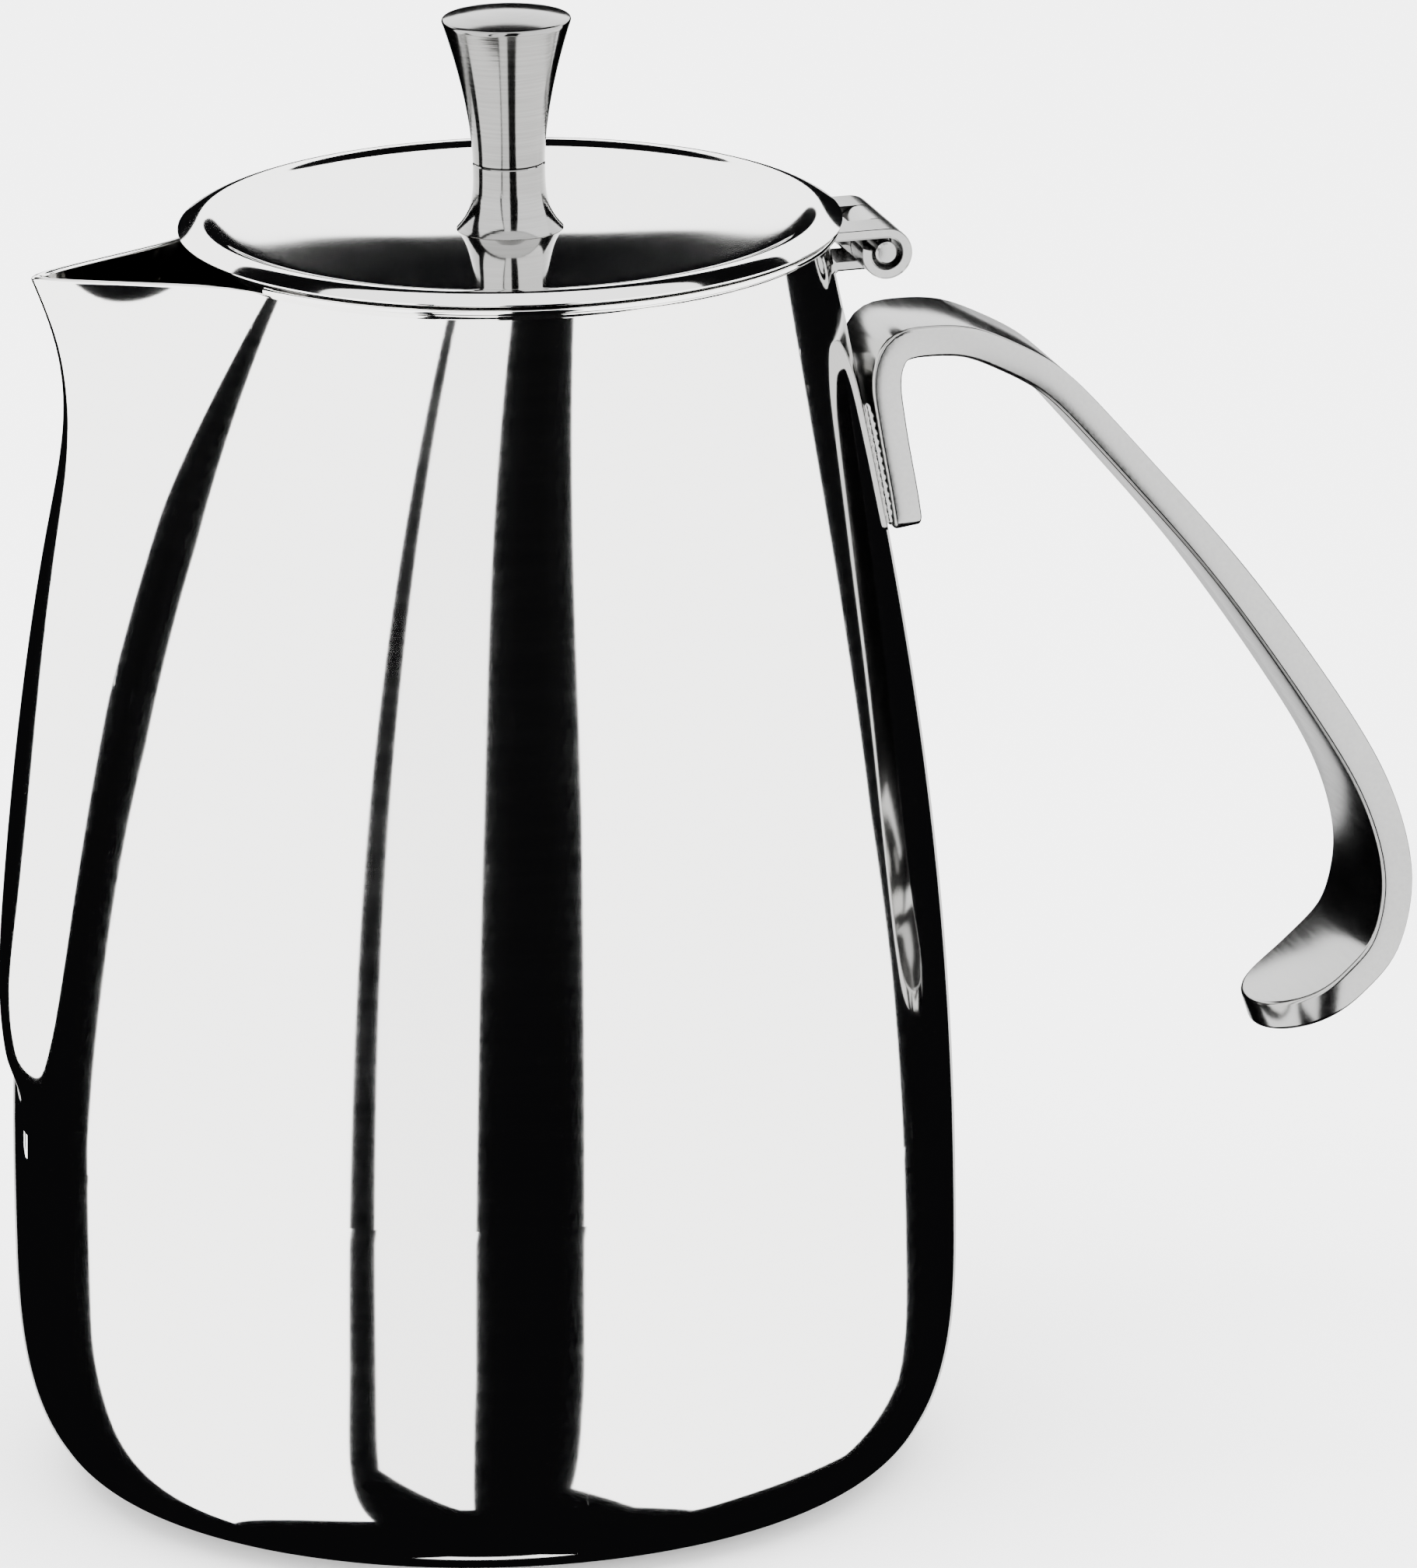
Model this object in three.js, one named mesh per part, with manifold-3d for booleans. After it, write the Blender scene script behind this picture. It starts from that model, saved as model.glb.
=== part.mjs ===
// Stainless steel coffee pot: a drawn body with a pressed beak spout, a flat bent
// strip handle, and a dished lid with a turned knob that swings on a rolled hinge above the handle.
//
// Millimetres. +Z is up, the origin is the centre of the flat base, the handle and hinge are on +X,
// the spout is on -X, and the pot is symmetric about the XZ plane.

import * as THREE from 'three';
import { ParametricGeometry } from 'three/addons/geometries/ParametricGeometry.js';
import { mergeVertices } from 'three/addons/utils/BufferGeometryUtils.js';
import Module from 'manifold-3d';

const wasm = await Module();
wasm.setup();

// ---- Driving dimensions -----------------------------------------------------------------------

const GAP = 0.3;                 // space left between pieces that touch or are welded together

const baseFlatRadius = 41.7;     // flat that the pot stands on
const bellyRadius = 61.9;        // widest part of the body
const bellyHeight = 35.3;        // height of the widest part, where the base corner ends
const cornerPower = 3.15;        // superellipse power of the base corner
const shoulderPower = 2.2;       // how late the body draws in above the belly
const mouthRadius = 40.7;        // outside of the neck at the mouth
const mouthHeight = 166.5;       // top face of the mouth's rolled lip
const mouthOffset = 5.9;         // the mouth's centre is this far towards the handle
const leanPower = 4.6;           // the lean is all in the upper part of the body
const bodyWall = 1.0;
const lipRadius = 43.0;          // outside of the mouth's lip, which is as wide as the lid
const lipThickness = 1.0;

const spoutHalfWidth = 19.7;     // from the middle plane to the crease where spout meets body
const spoutFullWidthHeight = 135;
const spoutFootHeight = 50;      // where the spout dies out into the body
const spoutRimHeight = 165.1;
const spoutWall = 1.1;
// The spout's keel in the middle plane: height, then distance from the body's axis.
const keelLine = [[50, 61.8], [64, 64.3], [82, 63.7], [102, 61.4], [132, 56.4], [148, 54.0],
  [157, 55.2], [165.1, 58.0]];

const lidRadius = 43.1;
const lidBottom = 166.8;         // underside of the lid's edge
const dishHeight = 166.6;        // the lid's flat middle is lower than its raised rim
const dishFlatRadius = 8;
const lidSheet = 0.9;
// The lid's top from its flat middle to its edge: radius, height. The rim is a low rounded ridge.
const lidTop = [[8, 166.6], [24, 167.0], [36, 167.45], [38.2, 167.85], [40, 168.35], [41.6, 167.95],
  [43.1, 167.1]];

const locatingRingRadius = 38.2; // ring under the lid that centres it in the mouth
const locatingRingWall = 0.8;
const locatingRingBottom = 163.4;

const pinX = 54.0;               // hinge axis
const pinZ = 161.15;
const pinRadius = 1.5;
const hingeSheet = 1.27;         // thickness of both hinge strips
const barrelInner = 2.1;
const leafHalfWidth = 9.3;
const slotHalfWidth = 3.9;       // slot in the lid's leaf for the body's knuckle
const slotInnerX = 50.2;
const knuckleHalfWidth = 3.5;
const leafTabX = 45.2;           // inner end of the leaf, turned up under the lid
const leafTabTop = 166.5;
const notchHalfWidth = 10.0;     // notch in the mouth for the lid's leaf
const notchFloor = 162.9;

const knobBottom = 175.3;
const knobEdgeHeight = 194.0;
const knobTop = 195.4;
const knobWaist = 4.7;
const knobTopRadius = 8.4;
const knobFlarePower = 1.65;
const collarRadius = 6.95;
const collarFlarePower = 3.6;

const screwRadius = 1.5;
const screwHeadRadius = 3.6;
const screwHeadHeight = 2.0;
const screwTip = 178.5;
const washerRadius = 5.0;
const washerThickness = 0.8;

// Handle: the strip's centre line (x, z), from the foot of the welded leg to the rounded tip.
const handleLine = [[56.9, 123.6], [56.3, 128], [55.3, 134], [54.4, 140], [54.3, 145], [55.7, 147.7],
  [59.3, 148.5], [65.4, 147.9], [70, 145.9], [75.5, 142.6], [81.4, 136.7], [89.4, 127.2],
  [97.8, 116.9], [106.1, 105.4], [114.3, 92.7], [118.4, 85.3], [121.5, 76.8], [122.4, 70.2],
  [121.7, 65], [119.9, 60.6], [117.1, 57.6], [113.6, 54.8], [109.5, 52.7], [105, 51.2]];
const handleLegThickness = 3.9;
const handleThickness = 4.15;
const handleLowerThickness = 4.6; // just above the lower bend
const handleLegHalfWidth = 8.1;
const handleMiddleHalfWidth = 10.8;
const handleTipHalfWidth = 11.3;
const handleTongue = 12.5;       // length of the strip's rounded end
const handleEdge = 0.5;          // chamfer along the strip's edges

// ---- Materials --------------------------------------------------------------------------------

const polished = new THREE.MeshStandardMaterial({ color: 0xe6e7e8, metalness: 1, roughness: 0.06 });
const brushed = new THREE.MeshStandardMaterial({ color: 0xd6d6d4, metalness: 1, roughness: 0.28 });
const satin = new THREE.MeshStandardMaterial({ color: 0xc9c9c8, metalness: 1, roughness: 0.35 });

// ---- Curves of the design ---------------------------------------------------------------------

function bodyRadius(z) {
  if (z < bellyHeight) {
    const t = 1 - Math.max(z, 0) / bellyHeight;
    const rise = (1 - t ** cornerPower) ** (1 / cornerPower);
    return baseFlatRadius + (bellyRadius - baseFlatRadius) * rise;
  }
  const t = (z - bellyHeight) / (mouthHeight - bellyHeight);
  return bellyRadius - (bellyRadius - mouthRadius) * t ** shoulderPower;
}

function bodyCentre(z) {
  return mouthOffset * (Math.max(z, 0) / mouthHeight) ** leanPower;
}

const keelCurve = new THREE.SplineCurve(keelLine.map(([z, x]) => new THREE.Vector2(z, x)));
const keelSamples = keelCurve.getPoints(160);

function keelDistance(z) {
  const next = Math.max(1, keelSamples.findIndex((p) => p.x >= z));
  const a = keelSamples[next - 1];
  const b = keelSamples[next];
  return a.y + (b.y - a.y) * THREE.MathUtils.clamp((z - a.x) / (b.x - a.x), 0, 1);
}

// Half angle of the spout, seen from the body's centre, at each height.
function creaseAngle(z) {
  const drop = Math.max(0, (spoutFullWidthHeight - z) / (spoutFullWidthHeight - spoutFootHeight));
  const halfWidth = spoutHalfWidth * Math.sqrt(Math.max(0, 1 - drop * drop));
  return Math.asin(halfWidth / bodyRadius(z));
}

// Distance of the spout's outer wall from the body's centre, at an angle measured from -X.
function spoutRadius(angle, z, inset) {
  const up = (z - spoutFootHeight) / (spoutRimHeight - spoutFootHeight);
  const rounding = 0.06 + 0.3 * (1 - up);
  const power = 1.43 + 0.97 * up;
  const across = Math.min(1, Math.abs(angle) / Math.max(creaseAngle(z), 1e-6));
  const run = Math.hypot(across, rounding) - rounding;
  const share = run / (Math.hypot(1, rounding) - rounding);
  const body = bodyRadius(z) - inset;
  const keel = Math.max(keelDistance(z) + bodyCentre(z) - inset * 1.6, body);
  return body + (keel - body) * (1 - share) ** power;
}

// ---- Making solids ----------------------------------------------------------------------------

// Merges a geometry's shared vertices and drops the triangles that collapse at poles and points.
function weld(geometry) {
  const bare = geometry.clone();
  bare.deleteAttribute('normal');
  bare.deleteAttribute('uv');
  const merged = mergeVertices(bare, 1e-4);
  const index = merged.getIndex().array;
  const kept = [];
  for (let i = 0; i < index.length; i += 3) {
    const [a, b, c] = [index[i], index[i + 1], index[i + 2]];
    if (a !== b && b !== c && c !== a) kept.push(a, b, c);
  }
  merged.setIndex(kept);
  return merged;
}

function solid(geometry) {
  const merged = weld(geometry);
  return new wasm.Manifold(new wasm.Mesh({
    numProp: 3,
    vertProperties: new Float32Array(merged.getAttribute('position').array),
    triVerts: new Uint32Array(merged.getIndex().array),
  }));
}

function geometryOf(manifold) {
  const mesh = manifold.getMesh();
  const geometry = new THREE.BufferGeometry();
  geometry.setAttribute('position', new THREE.BufferAttribute(mesh.vertProperties, 3));
  geometry.setIndex(new THREE.BufferAttribute(mesh.triVerts, 1));
  return geometry;
}

function cut(from, ...cutters) {
  return geometryOf(cutters.reduce((left, cutter) => left.subtract(solid(cutter)), solid(from)));
}

// Solid of revolution about +Z from a closed or axis-to-axis profile of [radius, z].
function turned(profile, segments, x = 0) {
  const points = profile.map(([r, z]) => new THREE.Vector2(r, z));
  const lathe = new THREE.LatheGeometry(points, segments);
  lathe.rotateX(Math.PI / 2);
  lathe.translate(x, 0, 0);
  return lathe;
}

// Plate of a profile in the XZ plane, centred on the middle plane.
function plate(shape, halfWidth) {
  const geometry = new THREE.ExtrudeGeometry(shape, {
    depth: 2 * halfWidth, bevelEnabled: false, curveSegments: 14,
  });
  geometry.rotateX(Math.PI / 2);
  geometry.translate(0, halfWidth, 0);
  return geometry;
}

function block(x0, x1, halfWidth, z0, z1) {
  const box = new THREE.BoxGeometry(x1 - x0, 2 * halfWidth, z1 - z0);
  box.translate((x0 + x1) / 2, 0, (z0 + z1) / 2);
  return box;
}

// Closed skin through equal rings of points, with a flat fan over the first and the last ring.
function loft(rings) {
  const count = rings[0].length;
  const positions = [];
  const index = [];
  for (const ring of rings) for (const p of ring) positions.push(p.x, p.y, p.z);
  for (let i = 0; i < rings.length - 1; i += 1) {
    for (let j = 0; j < count; j += 1) {
      const a = i * count + j;
      const b = i * count + (j + 1) % count;
      index.push(a, b, b + count, a, b + count, a + count);
    }
  }
  const last = (rings.length - 1) * count;
  for (let j = 1; j < count - 1; j += 1) {
    index.push(0, j + 1, j);
    index.push(last, last + j, last + j + 1);
  }
  const geometry = new THREE.BufferGeometry();
  geometry.setAttribute('position', new THREE.Float32BufferAttribute(positions, 3));
  geometry.setIndex(index);
  return geometry;
}

// ---- Body -------------------------------------------------------------------------------------

const wallTop = mouthHeight - lipThickness / 2;
const wallSteps = 18;
const aroundSteps = 64;

// Heights are closer together round the base corner than up the side.
function wallHeight(step, bottom) {
  const t = step / wallSteps;
  return bottom + (wallTop - bottom) * (0.35 * t + 0.65 * t ** 2.4);
}

function bodyPoint(row, angle, target) {
  const outside = row <= wallSteps;
  const z = outside ? wallHeight(row, 0) : wallHeight(2 * wallSteps + 1 - row, bodyWall);
  const radius = bodyRadius(z - (outside ? 0 : bodyWall / 2)) - (outside ? 0 : bodyWall);
  target.set(bodyCentre(z) + radius * Math.cos(angle), radius * Math.sin(angle), z);
}

// Drawn cup: out over the base, up the outside, over the mouth and back down the inside.
function drawnCup() {
  const rows = 2 * wallSteps + 1;
  return new ParametricGeometry((u, v, target) => {
    const row = Math.round(v * (rows + 2)) - 1;
    const angle = 2 * Math.PI * u;
    if (row < 0) target.set(0, 0, 0);
    else if (row > rows) target.set(0, 0, bodyWall);
    else bodyPoint(row, angle, target);
  }, aroundSteps, rows + 2);
}

function mouthLip() {
  const inner = mouthRadius - bodyWall;
  const round = 0.3;
  return turned([
    [inner, mouthHeight - lipThickness], [lipRadius - round, mouthHeight - lipThickness],
    [lipRadius, mouthHeight - lipThickness + round], [lipRadius, mouthHeight - round],
    [lipRadius - round, mouthHeight], [inner, mouthHeight], [inner, mouthHeight - lipThickness],
  ], aroundSteps, mouthOffset);
}

// Heights of the spout's cross-sections, closer together near its foot and its rim.
const spoutSteps = 28;
const spoutHeights = Array.from({ length: spoutSteps + 1 }, (_, i) => {
  const foot = spoutFootHeight + 2;
  const share = (1 - Math.cos((Math.PI * i) / spoutSteps)) / 2;
  return foot + (spoutRimHeight - foot) * share;
});

// Block that clears the body away behind the spout, along the crease.
function spoutOpening() {
  const ring = (z, height) => {
    const radius = bodyRadius(height);
    const edge = creaseAngle(height) + GAP / radius;
    const point = (distance, angle) => new THREE.Vector3(
      bodyCentre(height) - distance * Math.cos(angle), distance * Math.sin(angle), z);
    return [point(radius - 3, edge), point(radius + 4, edge), point(radius + 12, 0),
      point(radius + 4, -edge), point(radius - 3, -edge)];
  };
  const foot = spoutHeights[0];
  return loft([
    ring(foot - 2 * GAP, foot), ...spoutHeights.map((z) => ring(z, z)),
    ring(mouthHeight + 5, spoutRimHeight),
  ]);
}

function bodyShell() {
  const notch = block(36, 52, notchHalfWidth, notchFloor, mouthHeight + 2);
  const shell = solid(drawnCup()).add(solid(mouthLip()));
  return geometryOf(shell.subtract(solid(spoutOpening())).subtract(solid(notch)));
}

// ---- Spout ------------------------------------------------------------------------------------

// Pressed beak: a leaf-shaped shell, pointed at its foot and open at its rim.
function spoutShell() {
  const acrossSteps = 20;
  const side = (step, z, inset) => {
    const edge = creaseAngle(z);
    const t = (2 * step) / acrossSteps - 1;
    const angle = edge * Math.sign(t) * Math.abs(t) ** 1.3;
    const distance = spoutRadius(angle, z, inset);
    return new THREE.Vector3(
      bodyCentre(z) - distance * Math.cos(angle), distance * Math.sin(angle), z);
  };
  const rings = [];
  for (const z of spoutHeights) {
    const outer = [];
    const inner = [];
    for (let j = 0; j <= acrossSteps; j += 1) {
      outer.push(side(acrossSteps - j, z, 0));
      inner.push(side(j, z, spoutWall));
    }
    rings.push([...outer, ...inner]);
  }
  return capped(rings, acrossSteps + 1);
}

// Skin through open-channel rings: the ends are strips between the outer and the inner row.
function capped(rings, half) {
  const geometry = loft(rings);
  const index = Array.from(geometry.getIndex().array);
  const count = 2 * half;
  const sides = index.slice(0, 6 * count * (rings.length - 1));
  const strip = (start, up) => {
    for (let j = 0; j < half - 1; j += 1) {
      const [a, b] = [start + j, start + j + 1];
      const [c, d] = [start + count - 2 - j, start + count - 1 - j];
      if (up) sides.push(a, b, c, a, c, d);
      else sides.push(a, c, b, a, d, c);
    }
  };
  strip(0, false);
  strip((rings.length - 1) * count, true);
  geometry.setIndex(sides);
  return geometry;
}

// ---- Handle -----------------------------------------------------------------------------------

// Places along the handle, as shares of its length: even spacing, then closer round the tip.
function handleStations(length) {
  const mainSteps = 56;
  const tipSteps = 9;
  const straight = 1 - handleTongue / length;
  const stations = [];
  for (let i = 0; i <= mainSteps; i += 1) stations.push((straight * i) / mainSteps);
  for (let i = 1; i <= tipSteps; i += 1) {
    stations.push(straight + (1 - straight) * Math.sin((Math.PI / 2) * (i / tipSteps)));
  }
  return stations;
}

function handleHalfWidth(share, length) {
  const { lerp, smoothstep } = THREE.MathUtils;
  const upper = lerp(handleLegHalfWidth, handleMiddleHalfWidth, smoothstep(share, 0.15, 0.55));
  const widest = lerp(upper, handleTipHalfWidth, smoothstep(share, 0.55, 0.85));
  const tip = Math.max(0, 1 - ((1 - share) * length) / handleTongue);
  return Math.max(1.5, widest * (1 - tip ** 2.1) ** 0.48);
}

function handleStrip() {
  const curve = new THREE.SplineCurve(handleLine.map(([x, z]) => new THREE.Vector2(x, z)));
  const length = curve.getLength();
  const rings = handleStations(length).map((share) => {
    const centre = curve.getPointAt(share);
    const along = curve.getTangentAt(share);
    const normal = new THREE.Vector2(along.y, -along.x);
    const wide = handleHalfWidth(share, length);
    const bend = THREE.MathUtils.smoothstep(share, 0.06, 0.16);
    const upper = THREE.MathUtils.lerp(handleLegThickness, handleThickness, bend);
    const swell = Math.exp(-(((share - 0.66) / 0.14) ** 2));
    const half = THREE.MathUtils.lerp(upper, handleLowerThickness, swell) / 2;
    const corner = [[wide - handleEdge, half], [wide, half - handleEdge]];
    const section = [
      ...corner, ...corner.map(([w, h]) => [w, -h]).reverse(),
      ...corner.map(([w, h]) => [-w, -h]), ...corner.map(([w, h]) => [-w, h]).reverse(),
    ];
    return section.map(([w, h]) => new THREE.Vector3(
      centre.x + normal.x * h, w, centre.y + normal.y * h));
  });
  return loft(rings);
}

// ---- Hinge ------------------------------------------------------------------------------------

// A rolled eye round the pin, from angle "from" to "to" (degrees, clockwise when to < from).
function eyeArc(path, radius, from, to) {
  const clockwise = to < from;
  path.absarc(pinX, pinZ, radius, THREE.MathUtils.degToRad(from),
    THREE.MathUtils.degToRad(to), clockwise);
}

function lidHingeLeaf() {
  const outer = barrelInner + hingeSheet;
  const curlEnd = -197;
  const shape = new THREE.Shape();
  shape.moveTo(leafTabX, leafTabTop);
  shape.lineTo(leafTabX, pinZ + barrelInner);
  shape.lineTo(pinX, pinZ + barrelInner);
  eyeArc(shape, barrelInner, 90, curlEnd);
  eyeArc(shape, outer, curlEnd, 90);
  shape.lineTo(leafTabX + hingeSheet, pinZ + outer);
  shape.lineTo(leafTabX + hingeSheet, leafTabTop);
  const slot = block(slotInnerX, pinX + outer + 1, slotHalfWidth, pinZ - outer - 1, pinZ + outer + 1);
  return cut(plate(shape, leafHalfWidth), slot);
}

function bodyHingeBracket() {
  const outer = barrelInner + hingeSheet;
  const bore = pinRadius + GAP;
  const curlEnd = 205;
  const root = bodyCentre(pinZ - outer) + bodyRadius(pinZ - outer) + GAP;
  const shape = new THREE.Shape();
  shape.moveTo(root, pinZ - outer);
  shape.lineTo(pinX, pinZ - outer);
  eyeArc(shape, outer, -90, curlEnd);
  eyeArc(shape, bore, curlEnd, -90);
  shape.lineTo(pinX - 1.5, pinZ - barrelInner);
  shape.lineTo(root - 0.35, pinZ - barrelInner);
  return plate(shape, knuckleHalfWidth);
}

function hingePin() {
  const pin = new THREE.CylinderGeometry(pinRadius, pinRadius, 2 * leafHalfWidth, 24);
  pin.translate(pinX, 0, pinZ);
  return pin;
}

// ---- Lid --------------------------------------------------------------------------------------

const lidTopCurve = new THREE.SplineCurve(lidTop.map(([r, z]) => new THREE.Vector2(r, z)));
const lidTopPoints = lidTopCurve.getPoints(12).map((p) => [p.x, p.y]);

// Pressed disc, open underneath inside its rim, with the screw's hole in its middle.
function lidShell() {
  const bore = screwRadius + GAP;
  const sheetEnd = lidRadius - 1.4;
  const underside = lidTopPoints.filter(([r]) => r < sheetEnd).map(([r, z]) => [r, z - lidSheet]);
  const round = 0.25;
  return turned([
    [bore, dishHeight - lidSheet], ...underside, [sheetEnd, lidBottom], [lidRadius - round, lidBottom],
    ...lidTopPoints.slice().reverse(), [bore, dishHeight], [bore, dishHeight - lidSheet],
  ], aroundSteps, mouthOffset);
}

function lidLocatingRing() {
  const outer = locatingRingRadius;
  const inner = outer - locatingRingWall;
  const top = lidTopPoints.find(([r]) => r > inner)[1] - lidSheet - GAP - 0.1;
  return turned([[inner, locatingRingBottom], [outer, locatingRingBottom], [outer, top],
    [inner, top], [inner, locatingRingBottom]], aroundSteps, mouthOffset);
}

function knobCollar() {
  const bore = screwRadius + GAP;
  const bottom = dishHeight + GAP;
  const top = knobBottom - GAP;
  const steps = 9;
  const profile = [[bore, bottom]];
  for (let i = 0; i <= steps; i += 1) {
    const t = (i / steps) ** 1.4;
    const flare = (collarRadius - knobWaist) * (1 - t) ** collarFlarePower;
    profile.push([knobWaist + flare, bottom + (top - bottom) * t]);
  }
  profile.push([bore, top], [bore, bottom]);
  return turned(profile, 40, mouthOffset);
}

function turnedKnob() {
  const bore = screwRadius + GAP;
  const profile = [[0, screwTip + GAP], [bore, screwTip + GAP], [bore, knobBottom]];
  const steps = 10;
  for (let i = 0; i <= steps; i += 1) {
    const t = i / steps;
    profile.push([knobWaist + (knobTopRadius - knobWaist) * t ** knobFlarePower,
      knobBottom + (knobEdgeHeight - knobBottom) * t]);
  }
  profile.push([knobTopRadius * 0.75, knobTop - 0.5], [knobTopRadius * 0.4, knobTop - 0.12],
    [0, knobTop]);
  return turned(profile, 40, mouthOffset);
}

const lidUnderside = dishHeight - lidSheet;

function knobWasher() {
  const top = lidUnderside - GAP;
  const inner = screwRadius + GAP;
  return turned([[inner, top - washerThickness], [washerRadius, top - washerThickness],
    [washerRadius, top], [inner, top], [inner, top - washerThickness]], 32, mouthOffset);
}

function knobScrew() {
  const headTop = lidUnderside - 2 * GAP - washerThickness;
  return turned([[0, headTop - screwHeadHeight], [screwHeadRadius * 0.6, headTop - screwHeadHeight],
    [screwHeadRadius, headTop - screwHeadHeight * 0.5], [screwHeadRadius, headTop],
    [screwRadius, headTop], [screwRadius, screwTip - 1], [screwRadius - 0.6, screwTip],
    [0, screwTip]], 28, mouthOffset);
}

// ---- Assembly ---------------------------------------------------------------------------------

function piece(name, geometry, material) {
  const mesh = new THREE.Mesh(geometry, material);
  mesh.name = name;
  return mesh;
}

const pot = new THREE.Group();
pot.add(
  piece('body_shell', bodyShell(), polished),
  piece('spout', spoutShell(), polished),
  piece('handle', handleStrip(), satin),
  piece('body_hinge_bracket', bodyHingeBracket(), satin),
  piece('hinge_pin', hingePin(), satin),
);

const lid = new THREE.Group();
lid.add(
  piece('lid_shell', lidShell(), polished),
  piece('lid_locating_ring', lidLocatingRing(), brushed),
  piece('lid_hinge_leaf', lidHingeLeaf(), satin),
  piece('knob_collar', knobCollar(), brushed),
  piece('knob', turnedKnob(), brushed),
  piece('knob_washer', knobWasher(), brushed),
  piece('knob_screw', knobScrew(), brushed),
);

const group = new THREE.Group();
group.add(pot, lid);

export default group;
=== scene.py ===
"""A polished steel coffee pot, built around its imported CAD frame.

Lengths here are millimetres in the row frame (+Z up, handle and hinge on +X, spout on -X), and
become metres as each mesh is made.
"""
import math

import bmesh
import bpy
import numpy as np
from mathutils import Matrix, Vector


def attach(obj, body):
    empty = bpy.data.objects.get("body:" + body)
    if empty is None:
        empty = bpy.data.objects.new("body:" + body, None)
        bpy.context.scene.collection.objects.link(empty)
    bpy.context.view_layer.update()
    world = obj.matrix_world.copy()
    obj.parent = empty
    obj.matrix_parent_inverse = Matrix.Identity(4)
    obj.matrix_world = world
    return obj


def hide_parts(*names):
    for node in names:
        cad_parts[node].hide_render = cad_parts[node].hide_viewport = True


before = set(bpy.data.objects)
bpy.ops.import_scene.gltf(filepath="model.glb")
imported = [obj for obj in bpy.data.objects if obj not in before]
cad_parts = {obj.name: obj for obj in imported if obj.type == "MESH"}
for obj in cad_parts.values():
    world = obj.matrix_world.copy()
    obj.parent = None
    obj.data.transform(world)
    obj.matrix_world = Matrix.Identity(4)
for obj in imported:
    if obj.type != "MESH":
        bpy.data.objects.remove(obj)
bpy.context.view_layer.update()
MM = 0.001

# ---- Driving dimensions, the same as the CAD part's --------------------------------------------

BASE_FLAT_RADIUS = 41.7
BELLY_RADIUS = 61.9
BELLY_HEIGHT = 35.3
CORNER_POWER = 3.15
SHOULDER_POWER = 2.2
MOUTH_RADIUS = 40.7
MOUTH_HEIGHT = 166.5
MOUTH_OFFSET = 5.9
LEAN_POWER = 4.6
BODY_WALL = 1.0
LIP_RADIUS = 43.0

SPOUT_HALF_WIDTH = 19.7
SPOUT_FULL_WIDTH_HEIGHT = 135.0
SPOUT_FOOT = 50.0
SPOUT_RIM = 165.1
SPOUT_WALL = 1.1
KEEL_LINE = [(50, 61.8), (64, 64.3), (82, 63.7), (102, 61.4), (132, 56.4), (148, 54.0),
             (157, 55.2), (165.1, 58.0)]

PIN_X = 54.0
PIN_Z = 161.15
PIN_RADIUS = 1.5
HINGE_SHEET = 1.27
BARREL_INNER = 2.1
BARREL_OUTER = BARREL_INNER + HINGE_SHEET
LEAF_HALF_WIDTH = 9.3
SLOT_HALF_WIDTH = 3.9
SLOT_INNER_X = 50.2
KNUCKLE_HALF_WIDTH = 3.5
LEAF_TAB_X = 45.2
LEAF_TAB_TOP = 166.5
NOTCH_HALF_WIDTH = 10.0
NOTCH_FLOOR = 162.9

HANDLE_LINE = [(56.9, 123.6), (56.3, 128), (55.3, 134), (54.4, 140), (54.3, 145), (55.7, 147.7),
               (59.3, 148.5), (65.4, 147.9), (70, 145.9), (75.5, 142.6), (81.4, 136.7),
               (89.4, 127.2), (97.8, 116.9), (106.1, 105.4), (114.3, 92.7), (118.4, 85.3),
               (121.5, 76.8), (122.4, 70.2), (121.7, 65), (119.9, 60.6), (117.1, 57.6),
               (113.6, 54.8), (109.5, 52.7), (105, 51.2)]
HANDLE_LEG_THICKNESS = 3.9
HANDLE_THICKNESS = 4.15
HANDLE_LOWER_THICKNESS = 4.6
HANDLE_LEG_HALF_WIDTH = 8.1
HANDLE_MIDDLE_HALF_WIDTH = 10.8
HANDLE_TIP_HALF_WIDTH = 11.3
HANDLE_TONGUE = 12.5
HANDLE_EDGE = 0.55
HANDLE_CORNER = 1.3


# ---- Curves of the design ----------------------------------------------------------------------

def natural_spline(knots, values):
    """A function through (knot, value) pairs with a continuous second derivative."""
    x = np.asarray(knots, float)
    y = np.asarray(values, float)
    gap = np.diff(x)
    slope = np.diff(y) / gap
    system = np.eye(len(x))
    right = np.zeros(len(x))
    for i in range(1, len(x) - 1):
        system[i, i - 1:i + 2] = gap[i - 1], 2 * (gap[i - 1] + gap[i]), gap[i]
        right[i] = 6 * (slope[i] - slope[i - 1])
    bend = np.linalg.solve(system, right)

    def value(at):
        i = int(np.clip(np.searchsorted(x, at) - 1, 0, len(gap) - 1))
        low, high = at - x[i], x[i + 1] - at
        return (bend[i] * high ** 3 + bend[i + 1] * low ** 3) / (6 * gap[i]) \
            + (y[i] / gap[i] - bend[i] * gap[i] / 6) * high \
            + (y[i + 1] / gap[i] - bend[i + 1] * gap[i] / 6) * low

    return value


def smoothstep(value, low, high):
    t = min(1.0, max(0.0, (value - low) / (high - low)))
    return t * t * (3 - 2 * t)


def mix(a, b, share):
    return a + (b - a) * share


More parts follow.
